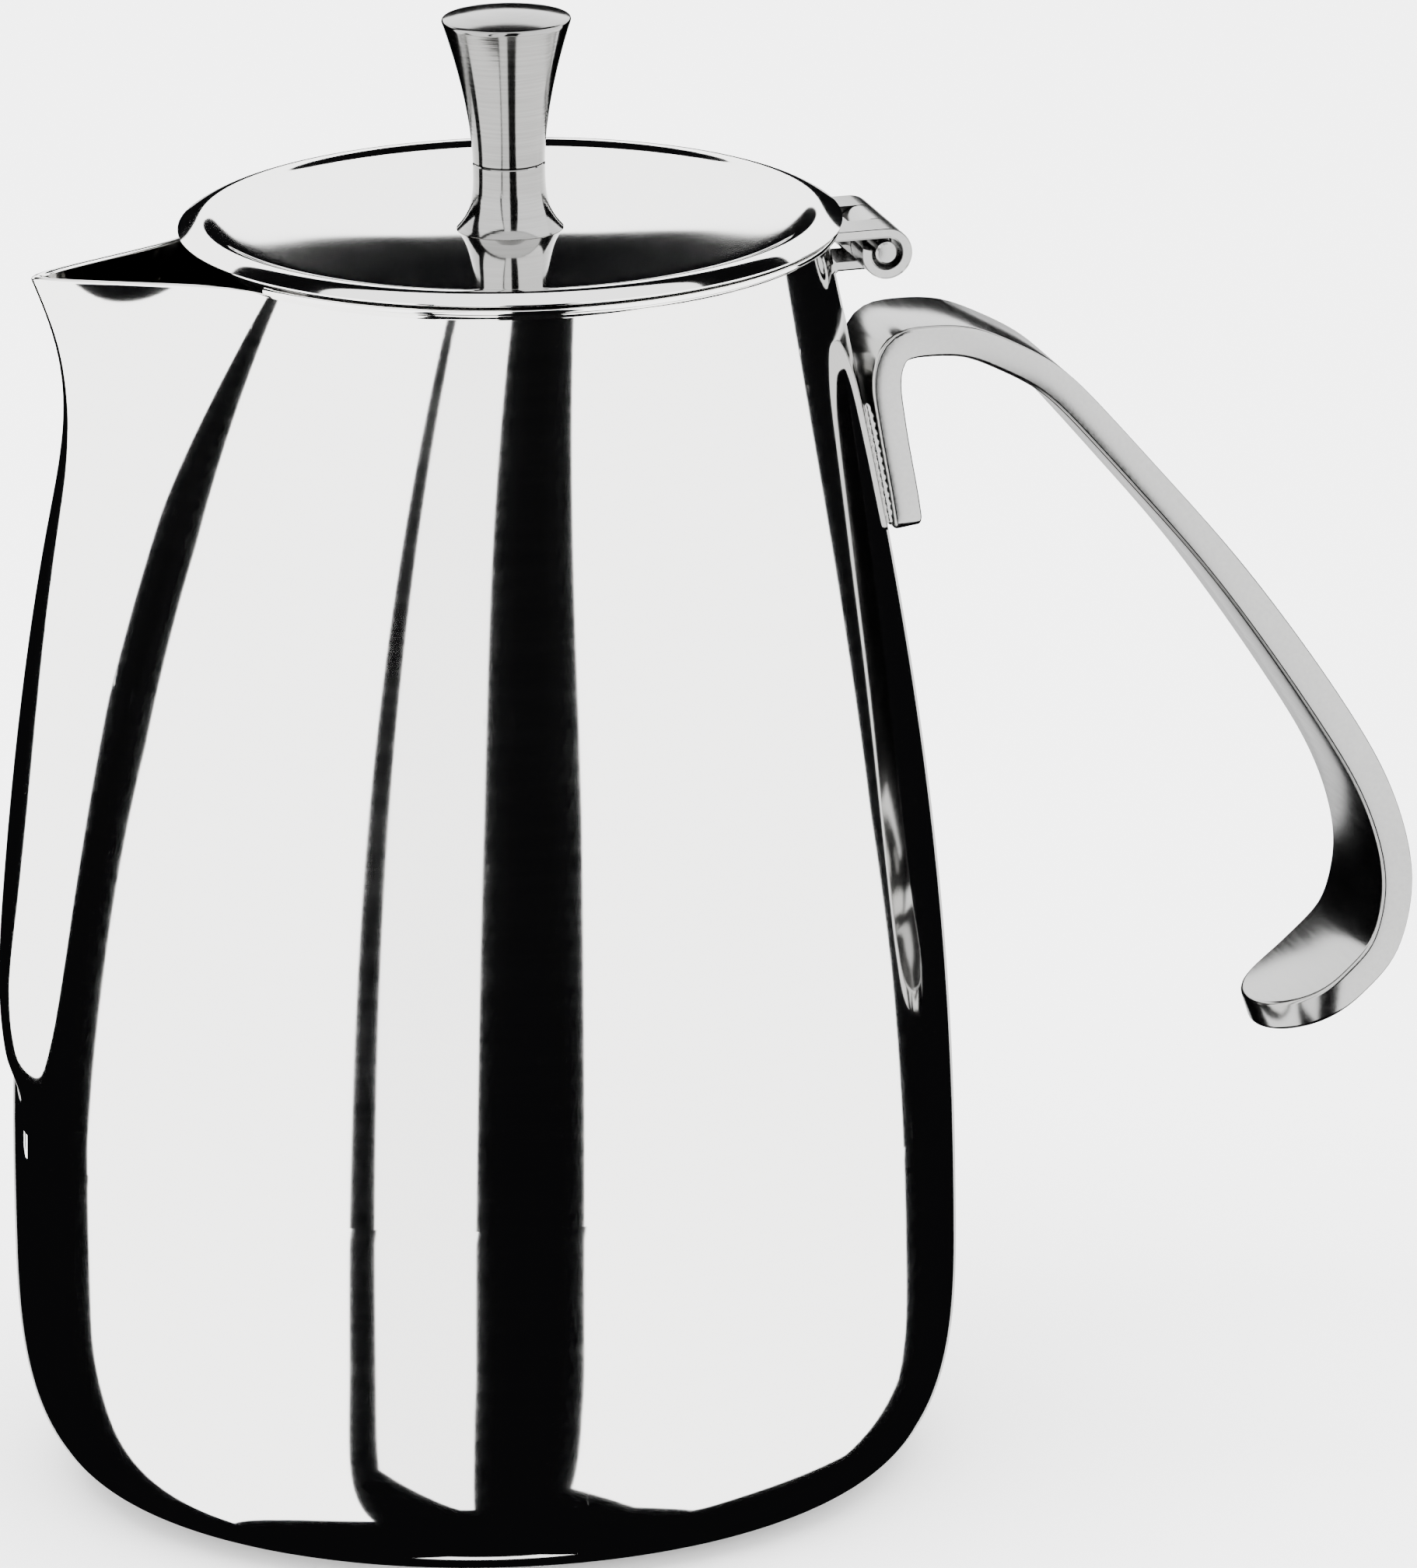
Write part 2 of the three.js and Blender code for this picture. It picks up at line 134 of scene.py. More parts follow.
def body_radius(z):
    if z < BELLY_HEIGHT:
        t = 1 - max(z, 0.0) / BELLY_HEIGHT
        rise = (1 - t ** CORNER_POWER) ** (1 / CORNER_POWER)
        return BASE_FLAT_RADIUS + (BELLY_RADIUS - BASE_FLAT_RADIUS) * rise
    t = (z - BELLY_HEIGHT) / (MOUTH_HEIGHT - BELLY_HEIGHT)
    return BELLY_RADIUS - (BELLY_RADIUS - MOUTH_RADIUS) * t ** SHOULDER_POWER


def body_centre(z):
    return MOUTH_OFFSET * (max(z, 0.0) / MOUTH_HEIGHT) ** LEAN_POWER


def crease_angle(z):
    """Half angle of the spout at a height, seen from the body's centre; nothing below its foot."""
    if z <= SPOUT_FOOT:
        return 0.0
    drop = max(0.0, (SPOUT_FULL_WIDTH_HEIGHT - z) / (SPOUT_FULL_WIDTH_HEIGHT - SPOUT_FOOT))
    half_width = SPOUT_HALF_WIDTH * math.sqrt(max(0.0, 1 - drop * drop))
    return math.asin(half_width / body_radius(z))


keel_distance = natural_spline(*zip(*KEEL_LINE))


def spout_radius(angle, z, inset):
    """Distance of the spout's wall from the body's centre, at an angle from -X."""
    up = (z - SPOUT_FOOT) / (SPOUT_RIM - SPOUT_FOOT)
    rounding = 0.06 + 0.3 * (1 - up)
    power = 1.43 + 0.97 * up
    across = min(1.0, abs(angle) / max(crease_angle(z), 1e-6))
    share = (math.hypot(across, rounding) - rounding) / (math.hypot(1, rounding) - rounding)
    body = body_radius(z) - inset
    keel = max(keel_distance(z) + body_centre(z) - inset * 1.6, body)
    keel = mix(body, keel, smoothstep(z, SPOUT_FOOT, SPOUT_FOOT + 11))
    return body + (keel - body) * (1 - share) ** power


# ---- Making meshes -----------------------------------------------------------------------------

def new_piece(name, points, faces, body, nodes, sharp_degrees=35):
    """A mesh from millimetre points, its faces turned outward, riding a body for its CAD nodes."""
    mesh = bpy.data.meshes.new(name)
    mesh.from_pydata([[c * MM for c in p] for p in points], [], faces)
    tidy = bmesh.new()
    tidy.from_mesh(mesh)
    bmesh.ops.remove_doubles(tidy, verts=tidy.verts, dist=2e-6)
    bmesh.ops.dissolve_degenerate(tidy, edges=tidy.edges, dist=1e-7)
    bmesh.ops.recalc_face_normals(tidy, faces=tidy.faces)
    if tidy.calc_volume(signed=True) < 0:
        bmesh.ops.reverse_faces(tidy, faces=tidy.faces)
    tidy.to_mesh(mesh)
    tidy.free()
    piece = bpy.data.objects.new(name, mesh)
    bpy.context.scene.collection.objects.link(piece)
    shade(mesh, sharp_degrees)
    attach(piece, body)
    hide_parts(*nodes)
    return piece


def shade(mesh, sharp_degrees):
    mesh.shade_smooth()
    mesh.set_sharp_from_angle(angle=math.radians(sharp_degrees))


def skin(rows, wrap=True):
    """Quads between equal rows of points; wrap joins each row's last point to its first."""
    count = len(rows[0])
    points = [p for row in rows for p in row]
    faces = []
    for i in range(len(rows) - 1):
        for j in range(count if wrap else count - 1):
            k = (j + 1) % count
            faces.append((i * count + j, i * count + k, (i + 1) * count + k, (i + 1) * count + j))
    return points, faces


def turned(name, profile, body, nodes, x=MOUTH_OFFSET, steps=192, sharp_degrees=35):
    """A closed solid of revolution about the vertical line at x, from (radius, height) points."""
    rows = []
    for r, z in profile:
        rows.append([(x + r * math.cos(a), r * math.sin(a), z)
                     for a in np.linspace(0, 2 * math.pi, steps, endpoint=False)])
    points, faces = skin(rows)
    return new_piece(name, points, faces, body, nodes, sharp_degrees)


def arc(x, z, radius, start, end, steps):
    """Points of a circular arc in degrees."""
    return [(x + radius * math.cos(math.radians(a)), z + radius * math.sin(math.radians(a)))
            for a in np.linspace(start, end, steps + 1)]


def rounded(profile, radius, steps=4):
    """The closed outline with each corner replaced by a small arc-like curve."""
    result = []
    count = len(profile)
    for i, here in enumerate(profile):
        here = np.array(here, float)
        before = np.array(profile[i - 1], float) - here
        after = np.array(profile[(i + 1) % count], float) - here
        reach = min(radius, 0.45 * np.linalg.norm(before), 0.45 * np.linalg.norm(after))
        start = here + before / np.linalg.norm(before) * reach
        end = here + after / np.linalg.norm(after) * reach
        for t in np.linspace(0, 1, steps + 1):
            result.append(tuple((1 - t) ** 2 * start + 2 * t * (1 - t) * here + t ** 2 * end))
    return result


def plate(outline, half_width, edge, y=0.0):
    """Rows of points round a flat plate with softened edges, from an (x, z) outline."""
    outline = np.array(outline, float)
    centre_normals = []
    for i in range(len(outline)):
        along = outline[(i + 1) % len(outline)] - outline[i - 1]
        centre_normals.append((along[1], -along[0]) / (np.linalg.norm(along) + 1e-12))
    area = 0.5 * sum(a[0] * b[1] - b[0] * a[1]
                     for a, b in zip(outline, np.roll(outline, -1, axis=0)))
    inward = -np.sign(area) * np.array(centre_normals)
    rows = []
    for side, angles in ((-1, (90, 60, 30, 0)), (1, (0, 30, 60, 90))):
        for angle in angles:
            pull = edge * (1 - math.cos(math.radians(angle)))
            depth = half_width - edge * (1 - math.sin(math.radians(90 - angle)))
            ring = outline + inward * pull
            rows.append([(px, y + side * depth, pz) for px, pz in ring])
    return rows


def capped(rows):
    """Skin of the rows with one flat face over each end."""
    points, faces = skin(rows)
    count = len(rows[0])
    last = (len(rows) - 1) * count
    faces.append(tuple(range(count - 1, -1, -1)))
    faces.append(tuple(range(last, last + count)))
    return points, faces


def carve(piece, low, high):
    """Cuts the box between two millimetre corners out of a piece."""
    centre = [(a + b) / 2 * MM for a, b in zip(low, high)]
    size = [(b - a) * MM for a, b in zip(low, high)]
    shape = bmesh.new()
    bmesh.ops.create_cube(shape, size=1.0, matrix=Matrix.Translation(centre) @ Matrix.Diagonal(size + [1]))
    mesh = bpy.data.meshes.new("cutter")
    shape.to_mesh(mesh)
    shape.free()
    cutter = bpy.data.objects.new("cutter", mesh)
    bpy.context.scene.collection.objects.link(cutter)
    boolean = piece.modifiers.new("carve", "BOOLEAN")
    boolean.operation = "DIFFERENCE"
    boolean.object = cutter
    apply_modifiers(piece)
    bpy.data.objects.remove(cutter)
    bpy.data.meshes.remove(mesh)


def apply_modifiers(piece):
    bpy.context.view_layer.update()
    shaped = piece.evaluated_get(bpy.context.evaluated_depsgraph_get())
    final = bpy.data.meshes.new_from_object(shaped)
    piece.modifiers.clear()
    piece.data = final


# ---- Body --------------------------------------------------------------------------------------

BODY_COLUMNS = 288
CORNER_STEPS = 44
WALL_STEPS = 110
WALL_TOP = 164.7


def wall_heights():
    """Heights up the body's wall, closer together at the spout's foot and at the mouth."""
    below = np.linspace(BELLY_HEIGHT, SPOUT_FOOT, 9)[1:]
    shares = (1 - np.cos(np.linspace(0, math.pi, WALL_STEPS + 1)[1:])) / 2
    return list(below) + list(SPOUT_FOOT + (WALL_TOP - SPOUT_FOOT) * shares)


def outer_profile():
    """The body's outside as (radius, height), from the rim of its flat base to under its lip."""
    points = []
    for a in np.linspace(0, math.pi / 2, CORNER_STEPS + 1):
        rise = math.sin(a) ** (2 / CORNER_POWER)
        drop = math.cos(a) ** (2 / CORNER_POWER) if a < math.pi / 2 else 0.0
        points.append((BASE_FLAT_RADIUS + (BELLY_RADIUS - BASE_FLAT_RADIUS) * rise,
                       BELLY_HEIGHT * (1 - drop)))
    return points + [(body_radius(z), z) for z in wall_heights()]


def inner_profile(outer):
    """The same wall's inside, one sheet thickness in."""
    points = []
    for i, (r, z) in enumerate(outer):
        before = outer[max(i - 1, 0)]
        after = outer[min(i + 1, len(outer) - 1)]
        along = np.array(after) - np.array(before)
        along = along / np.linalg.norm(along)
        if i == 0:
            along = np.array((1.0, 0.0))
        points.append((r - along[1] * BODY_WALL, z + along[0] * BODY_WALL))
    return points


def lip_profile():
    """The out-turned lip, from the wall's outside over to its inside."""
    bend = arc(42.35, 164.75, 0.8, 180, 90, 6)
    edge = arc(LIP_RADIUS - 0.42, MOUTH_HEIGHT - 0.5, 0.44, -75, 90, 8)
    inside = arc(MOUTH_RADIUS - BODY_WALL + 1.7, MOUTH_HEIGHT - 0.9, 0.9, 90, 180, 6)
    return bend[1:] + edge + inside


def body_columns(z):
    """Angles round the body from one side of the spout to the other, measured from -X."""
    edge = crease_angle(z)
    return np.linspace(edge, 2 * math.pi - edge, BODY_COLUMNS)


def ring(radius, z, centre, angles):
    return [(centre - radius * math.cos(a), radius * math.sin(a), z) for a in angles]


def body_shell():
    outer = outer_profile()
    inner = inner_profile(outer)
    rows = [[(0, 0, 0)] * BODY_COLUMNS]
    rows += [ring(r, z, body_centre(z), body_columns(z)) for r, z in outer]
    rows += [ring(r, z, MOUTH_OFFSET * (min(z, WALL_TOP) / MOUTH_HEIGHT) ** LEAN_POWER,
                  body_columns(WALL_TOP)) for r, z in lip_profile()]
    wall_rows = [ring(r, z, body_centre(z), body_columns(outer[i][1]))
                 for i, (r, z) in enumerate(inner)]
    rows += wall_rows[::-1]
    rows.append([(0, 0, BODY_WALL)] * BODY_COLUMNS)
    points, faces = skin(rows, wrap=False)
    count = BODY_COLUMNS
    total = len(rows)
    for column in (0, count - 1):
        for i in range(1, len(outer)):
            if outer[i][1] >= SPOUT_FOOT:
                a, b = i * count + column, (i + 1) * count + column
                c, d = (total - 2 - i) * count + column, (total - 1 - i) * count + column
                faces.append((a, b, c, d))
        lip = range(len(outer), total - len(outer))
        faces.append(tuple(i * count + column for i in lip))
    piece = new_piece("pot_body", points, faces, "pot", ["body_shell"], 30)
    carve(piece, (38, -NOTCH_HALF_WIDTH, NOTCH_FLOOR), (52, NOTCH_HALF_WIDTH, MOUTH_HEIGHT + 3))
    shade(piece.data, 30)
    return piece


# ---- Spout -------------------------------------------------------------------------------------

SPOUT_COLUMNS = 72


def spout_row(z, inset, height=None):
    edge = crease_angle(z)
    row = []
    for t in np.linspace(-1, 1, SPOUT_COLUMNS + 1):
        angle = edge * math.copysign(abs(t) ** 1.3, t)
        distance = spout_radius(angle, z, inset)
        row.append((body_centre(z) - distance * math.cos(angle), distance * math.sin(angle),
                    z if height is None else height))
    return row


def spout():
    heights = [z for z in wall_heights() if z > SPOUT_FOOT + 0.02]
    outside = [spout_row(z, 0) for z in heights]
    rim = [spout_row(WALL_TOP, 0.5 * SPOUT_WALL * (1 - math.cos(math.radians(a))),
                     WALL_TOP + (SPOUT_RIM - WALL_TOP) * math.sin(math.radians(a)))
           for a in (30, 60, 90, 120, 150)]
    inside = [spout_row(z, SPOUT_WALL) for z in heights][::-1]
    points, faces = skin(outside + rim + inside, wrap=False)
    count = SPOUT_COLUMNS + 1
    total = len(outside) + len(rim) + len(inside)
    for column in (0, count - 1):
        for i in range(len(outside) - 1):
            a, b = i * count + column, (i + 1) * count + column
            c, d = (total - 2 - i) * count + column, (total - 1 - i) * count + column
            faces.append((a, b, c, d))
        faces.append(tuple(i * count + column for i in range(len(outside) - 1, total - len(inside) + 1)))
    foot = (total - 1) * count
    for j in range(count - 1):
        faces.append((j, j + 1, foot + j + 1, foot + j))
    return new_piece("pouring_spout", points, faces, "pot", ["spout"], 50)


# ---- Handle ------------------------------------------------------------------------------------

def handle_frame():
    """The strip's centre line as a function of length along it: place and direction."""
    line = np.array(HANDLE_LINE, float)
    chord = np.concatenate([[0], np.cumsum(np.hypot(*np.diff(line, axis=0).T))])
    curve_x = natural_spline(chord, line[:, 0])
    curve_z = natural_spline(chord, line[:, 1])

    def at(length):
        s = min(max(length, 0.0), chord[-1])
        step = 0.05
        low, high = max(s - step, 0.0), min(s + step, chord[-1])
        along = np.array((curve_x(high) - curve_x(low), curve_z(high) - curve_z(low)))
        along = along / np.linalg.norm(along)
        place = np.array((curve_x(s), curve_z(s))) + along * (length - s)
        return place, np.array((along[1], -along[0]))

    return at, chord[-1]


def handle_half_width(share):
    upper = mix(HANDLE_LEG_HALF_WIDTH, HANDLE_MIDDLE_HALF_WIDTH, smoothstep(share, 0.15, 0.55))
    return mix(upper, HANDLE_TIP_HALF_WIDTH, smoothstep(share, 0.55, 0.85))


def handle_half_thickness(share):
    bend = mix(HANDLE_LEG_THICKNESS, HANDLE_THICKNESS, smoothstep(share, 0.06, 0.16))
    swell = math.exp(-((share - 0.66) / 0.14) ** 2)
    return mix(bend, HANDLE_LOWER_THICKNESS, swell) / 2


def handle_outline(length, inset):
    """(distance along, half width) of the strip's flat outline, drawn in by inset."""
    outline = []
    for a in np.linspace(math.pi / 2, 0, 7):
        outline.append((inset + HANDLE_CORNER * (1 - math.sin(a)),
                        handle_half_width(0) - inset - HANDLE_CORNER * (1 - math.cos(a))))
    start, end = outline[-1][0], length - HANDLE_TONGUE
    for s in np.linspace(start, end, 150)[1:]:
        outline.append((s, handle_half_width(s / length) - inset))
    reach = HANDLE_TONGUE - inset
    for a in np.linspace(0, math.pi / 2, 30)[1:]:
        tip = math.sin(a)
        s = end + reach * tip
        wide = handle_half_width(min(s / length, 1)) - inset
        outline.append((s, wide * max(0.0, 1 - tip ** 2.1) ** 0.48))
    return outline


def handle():
    at, length = handle_frame()
    full = handle_outline(length, 0)
    drawn_in = handle_outline(length, HANDLE_EDGE)
    rows = []
    for (s_out, w_out), (s_in, w_in) in zip(full, drawn_in):
        quarter = []
        for a in np.linspace(0, math.pi / 2, 5):
            s, w = mix(s_in, s_out, math.sin(a)), mix(w_in, w_out, math.sin(a))
            half = handle_half_thickness(s_out / length)
            quarter.append((s, w, half - HANDLE_EDGE * (1 - math.cos(a))))
        around = quarter + [(s, w, -h) for s, w, h in quarter[::-1]]
        around += [(s, -w, -h) for s, w, h in quarter] + [(s, -w, h) for s, w, h in quarter[::-1]]
        row = []
        for s, w, h in around:
            place, normal = at(s)
            place = place + normal * h
            row.append((place[0], w, place[1]))
        rows.append(row)
    points, faces = capped(rows)
    return new_piece("strap_handle", points, faces, "pot", ["handle"], 50)


def weld_bead(name, side):
    """The rippled fillet of weld down one edge of the handle's leg."""
    rows = []
    for z in np.linspace(124.2, 141, 90):
        wall = body_centre(z) + math.sqrt(body_radius(z) ** 2 - 7.6 ** 2)
        ends = max(0.0, 1 - ((z - 132.6) / 8.4) ** 8) ** 0.5
        radius = (0.6 + 0.11 * math.sin(5.2 * z) + 0.05 * math.sin(13.1 * z + 1)) * max(ends, 0.02)
        rows.append([(wall + 0.5 + radius * math.cos(a), side * (7.7 + 0.8 * radius * math.sin(a)), z)
                     for a in np.linspace(0, 2 * math.pi, 16, endpoint=False)])
    points, faces = capped(rows)
    return new_piece(name, points, faces, "pot", ["handle"], 60)


# ---- Hinge -------------------------------------------------------------------------------------

def lid_leaf():
    curl_end = -197
    outline = [(LEAF_TAB_X, LEAF_TAB_TOP), (LEAF_TAB_X, PIN_Z + BARREL_INNER)]
    outline += arc(PIN_X, PIN_Z, BARREL_INNER, 90, curl_end, 56)
    outline += arc(PIN_X, PIN_Z, BARREL_OUTER, curl_end, 90, 56)
    outline += [(LEAF_TAB_X + HINGE_SHEET + 0.9, PIN_Z + BARREL_OUTER),
                (LEAF_TAB_X + HINGE_SHEET, PIN_Z + BARREL_OUTER + 0.9),
                (LEAF_TAB_X + HINGE_SHEET, LEAF_TAB_TOP)]
    points, faces = capped(plate(outline, LEAF_HALF_WIDTH, 0.16))
    piece = new_piece("lid_leaf", points, faces, "lid", ["lid_hinge_leaf"], 30)
    carve(piece, (SLOT_INNER_X, -SLOT_HALF_WIDTH, PIN_Z - 5), (60, SLOT_HALF_WIDTH, PIN_Z + 5))
    shade(piece.data, 30)
    return piece


def body_bracket():
    bore = PIN_RADIUS + 0.3
    curl_end = 205
    root = body_centre(PIN_Z - 3) + body_radius(PIN_Z - 3) + 0.05
    outline = [(root, PIN_Z - BARREL_OUTER - 0.6), (root + 0.7, PIN_Z - BARREL_OUTER)]
    outline += arc(PIN_X, PIN_Z, BARREL_OUTER, -90, curl_end, 56)
    outline += arc(PIN_X, PIN_Z, bore, curl_end, -90, 56)
    outline += [(PIN_X - 1.5, PIN_Z - BARREL_INNER), (root + 0.5, PIN_Z - BARREL_INNER),
                (root - 0.2, PIN_Z - BARREL_INNER + 0.6)]
    points, faces = capped(plate(outline, KNUCKLE_HALF_WIDTH, 0.16))
    return new_piece("body_bracket", points, faces, "pot", ["body_hinge_bracket"], 30)


def pin():
    """The hinge pin, its ends cut off and lightly chamfered, with a faint dome."""
    end = LEAF_HALF_WIDTH
    profile = [(0, end), (0.6, end - 0.02), (1.2, end - 0.07), (PIN_RADIUS, end - 0.3)]
    profile += [(r, -y) for r, y in profile[::-1]]
    rows = []
    for r, y in profile:
        rows.append([(PIN_X + r * math.cos(a), y, PIN_Z + r * math.sin(a))
                     for a in np.linspace(0, 2 * math.pi, 64, endpoint=False)])
    points, faces = skin(rows)
    return new_piece("pivot_pin", points, faces, "pot", ["hinge_pin"], 30)


# ---- Lid ---------------------------------------------------------------------------------------

DISH_HEIGHT = 166.3
LID_SHEET = 0.9
LID_RADIUS = 43.1
LID_BOTTOM = 166.8
SCREW_RADIUS = 1.5
LID_TOP = [(0, 166.3), (5, 166.34), (9, 166.43), (15, 166.635), (22, 166.955), (28, 167.245),
           (34, 167.5), (36.2, 167.6), (38.2, 167.86), (40, 168.33), (41.6, 167.95), (43.1, 167.1)]


def lid_top():
    """The lid's upper side: a shallow dish inside a low rounded ridge."""
    height = natural_spline(*zip(*LID_TOP))
    reach = list(np.linspace(1.8, 35, 40)) + list(np.linspace(35, LID_RADIUS, 49)[1:])
    return [(r, height(r)) for r in reach]


def lid_disc():
    top = lid_top()
    sheet_end = LID_RADIUS - 1.4
    underside = [(r, z - LID_SHEET) for r, z in top if r < sheet_end]
    edge = arc(LID_RADIUS - 0.25, LID_BOTTOM + 0.25, 0.25, -90, 0, 5)
    profile = underside + [(sheet_end, LID_BOTTOM)] + edge + top[::-1] + [underside[0]]
    return turned("lid_disc", profile, "lid", ["lid_shell"], steps=288)


def locating_ring():
    outer, inner, bottom, top = 38.2, 37.4, 163.4, 166.9
    outline = rounded([(inner, bottom), (outer, bottom), (outer, top), (inner, top)], 0.25)
    return turned("locating_ring", outline + outline[:1], "lid", ["lid_locating_ring"])


def collar():
    waist, bottom_radius, bottom, top = 4.7, 6.95, DISH_HEIGHT + 0.02, 175.12
    bore = SCREW_RADIUS + 0.3
    profile = [(bore, bottom), (bottom_radius - 0.12, bottom)]
    for i in range(41):
        t = (i / 40) ** 1.4
        profile.append((waist + (bottom_radius - waist) * (1 - t) ** 3.6,
                        bottom + 0.12 + (top - 0.27 - bottom) * t))
    profile += [(waist - 0.14, top), (bore, top), (bore, bottom)]
    return turned("knob_foot", profile, "lid", ["knob_collar"], steps=160)


def knob():
    waist, top_radius, bottom, edge, crown = 4.7, 8.4, 175.24, 194.0, 195.4
    profile = [(0, 178.8), (1.8, 178.8), (1.8, bottom), (waist - 0.14, bottom)]
    for t in np.linspace(0, 1, 49):
        profile.append((waist + (top_radius - waist) * t ** 1.65,
                        bottom + 0.14 + (edge - 0.14 - bottom) * t))
    profile += arc(top_radius - 0.3, edge + 0.05, 0.3, 10, 72, 5)
    shoulder = profile[-1]
    for r in np.linspace(shoulder[0], 0, 25)[1:]:
        profile.append((r, crown - (crown - shoulder[1]) * (r / shoulder[0]) ** 2))
    return turned("knob_grip", profile, "lid", ["knob"], steps=160, sharp_degrees=28)


def washer():
    top = DISH_HEIGHT - LID_SHEET - 0.02
    inner, outer, bottom = SCREW_RADIUS + 0.3, 5.0, top - 0.9
    outline = rounded([(inner, bottom), (outer, bottom), (outer, top), (inner, top)], 0.18)
    return turned("screw_washer", outline + outline[:1], "lid", ["knob_washer"], steps=96)


def screw():
    """A cheese-head screw with a driver slot."""
    top = DISH_HEIGHT - LID_SHEET - 0.95
    head = arc(3.3, top - 1.7, 0.3, 0, -90, 4)
    profile = [(0, top - 2.0)] + head[::-1] + [(3.6, top), (SCREW_RADIUS, top),
                                               (SCREW_RADIUS, 177.5), (0.9, 178.4), (0, 178.4)]
    piece = turned("knob_bolt", profile, "lid", ["knob_screw"], steps=96)
    carve(piece, (0, -0.45, top - 3), (12, 0.45, top - 1.1))
    shade(piece.data, 30)
    return piece


# ---- Metals ------------------------------------------------------------------------------------

def metal(name, tone, rough_low, rough_high, grain_scale, grain_depth, grain_strength, scuff=0.0,
          darkest=0.965):
    """Bare stainless steel: its tone, a roughness that drifts, a directional grain and faint scuffs.

    grain_scale stretches the grain: a small number along an axis makes long lines that way.
    """
    material = bpy.data.materials.new(name)
    material.use_nodes = True
    tree = material.node_tree
    shader = tree.nodes["Principled BSDF"]
    shader.inputs["Metallic"].default_value = 1.0
    place = tree.nodes.new("ShaderNodeTexCoord")
    drift = texture(tree, place.outputs["Object"], (1, 1, 1), 38, 3, 0.55)
    fine = texture(tree, place.outputs["Object"], grain_scale, 1, 4, 0.6)

    blend = tree.nodes.new("ShaderNodeMath")
    blend.operation = "MULTIPLY_ADD"
    blend.inputs[1].default_value = 0.45
    tree.links.new(drift, blend.inputs[0])
    half = tree.nodes.new("ShaderNodeMath")
    half.operation = "MULTIPLY"
    half.inputs[1].default_value = 0.55
    tree.links.new(fine, half.inputs[0])
    tree.links.new(half.outputs[0], blend.inputs[2])

    rough = tree.nodes.new("ShaderNodeMapRange")
    rough.inputs["From Min"].default_value = 0.3
    rough.inputs["From Max"].default_value = 0.7
    rough.inputs["To Min"].default_value = rough_low
    rough.inputs["To Max"].default_value = rough_high
    tree.links.new(blend.outputs[0], rough.inputs["Value"])
    roughness = rough.outputs[0]
    if scuff:
        roughness = add_scuffs(tree, place.outputs["Object"], roughness, scuff)
    tree.links.new(roughness, shader.inputs["Roughness"])

    shade_of = tree.nodes.new("ShaderNodeValToRGB")
    shade_of.color_ramp.elements[0].position = 0.25
    shade_of.color_ramp.elements[0].color = [c * darkest for c in tone] + [1]
    shade_of.color_ramp.elements[1].position = 0.75
    shade_of.color_ramp.elements[1].color = list(tone) + [1]
    tree.links.new(blend.outputs[0], shade_of.inputs["Fac"])
    tree.links.new(shade_of.outputs["Color"], shader.inputs["Base Color"])

    bump = tree.nodes.new("ShaderNodeBump")
    bump.inputs["Strength"].default_value = grain_strength
    bump.inputs["Distance"].default_value = grain_depth * MM
    tree.links.new(fine, bump.inputs["Height"])
    tree.links.new(bump.outputs["Normal"], shader.inputs["Normal"])
    return material


def texture(tree, place, stretch, scale, detail, roughness):
    mapping = tree.nodes.new("ShaderNodeMapping")
    mapping.inputs["Scale"].default_value = stretch
    tree.links.new(place, mapping.inputs["Vector"])
    noise = tree.nodes.new("ShaderNodeTexNoise")
    noise.inputs["Scale"].default_value = scale
    noise.inputs["Detail"].default_value = detail
    noise.inputs["Roughness"].default_value = roughness
    tree.links.new(mapping.outputs[0], noise.inputs["Vector"])
    return noise.outputs["Fac"]


def add_scuffs(tree, place, roughness, amount):
    """Hairline wiping marks, only where a broad patchy mask lets them show."""
    lines = texture(tree, place, (1400, 1400, 90), 1, 2, 0.7)
    patches = texture(tree, place, (1, 1, 1), 55, 2, 0.5)
    masks = []
    for source, low, high in ((lines, 0.62, 0.74), (patches, 0.52, 0.7)):
        mask = tree.nodes.new("ShaderNodeMapRange")
        mask.inputs["From Min"].default_value = low
        mask.inputs["From Max"].default_value = high
        tree.links.new(source, mask.inputs["Value"])
        masks.append(mask.outputs[0])
    both = tree.nodes.new("ShaderNodeMath")
    both.operation = "MULTIPLY"
    tree.links.new(masks[0], both.inputs[0])
    tree.links.new(masks[1], both.inputs[1])
    total = tree.nodes.new("ShaderNodeMath")
    total.operation = "MULTIPLY_ADD"
    total.inputs[1].default_value = amount
    tree.links.new(both.outputs[0], total.inputs[0])
    tree.links.new(roughness, total.inputs[2])
    return total.outputs[0]


STEEL = (0.93, 0.925, 0.91)
mirror = metal("mirror_steel", STEEL, 0.035, 0.06, (60, 60, 900), 0.004, 0.05, scuff=0.07)
satin = metal("satin_steel", (0.30, 0.299, 0.295), 0.12, 0.2, (1500, 120, 1500), 0.012, 0.3, scuff=0.06,
              darkest=0.82)
brushed = metal("turned_steel", (0.28, 0.279, 0.274), 0.08, 0.15, (60, 60, 2600), 0.014, 0.6, scuff=0.04,
                darkest=0.62)


# ---- The pot -----------------------------------------------------------------------------------

pieces = [
    (body_shell(), mirror),
    (spout(), mirror),
    (handle(), satin),
    (weld_bead("weld_near", -1), satin),
    (weld_bead("weld_far", 1), satin),
    (body_bracket(), satin),
    (pin(), satin),
    (lid_leaf(), satin),
    (lid_disc(), mirror),
    (locating_ring(), satin),
    (collar(), brushed),
    (knob(), brushed),
    (washer(), brushed),
    (screw(), brushed),
]
for piece, material in pieces:
    piece.data.materials.clear()
    piece.data.materials.append(material)


# ---- Studio ------------------------------------------------------------------------------------

POT_AXIS = Vector((0, 0, 0.08))
CAMERA_YAW = math.radians(15)


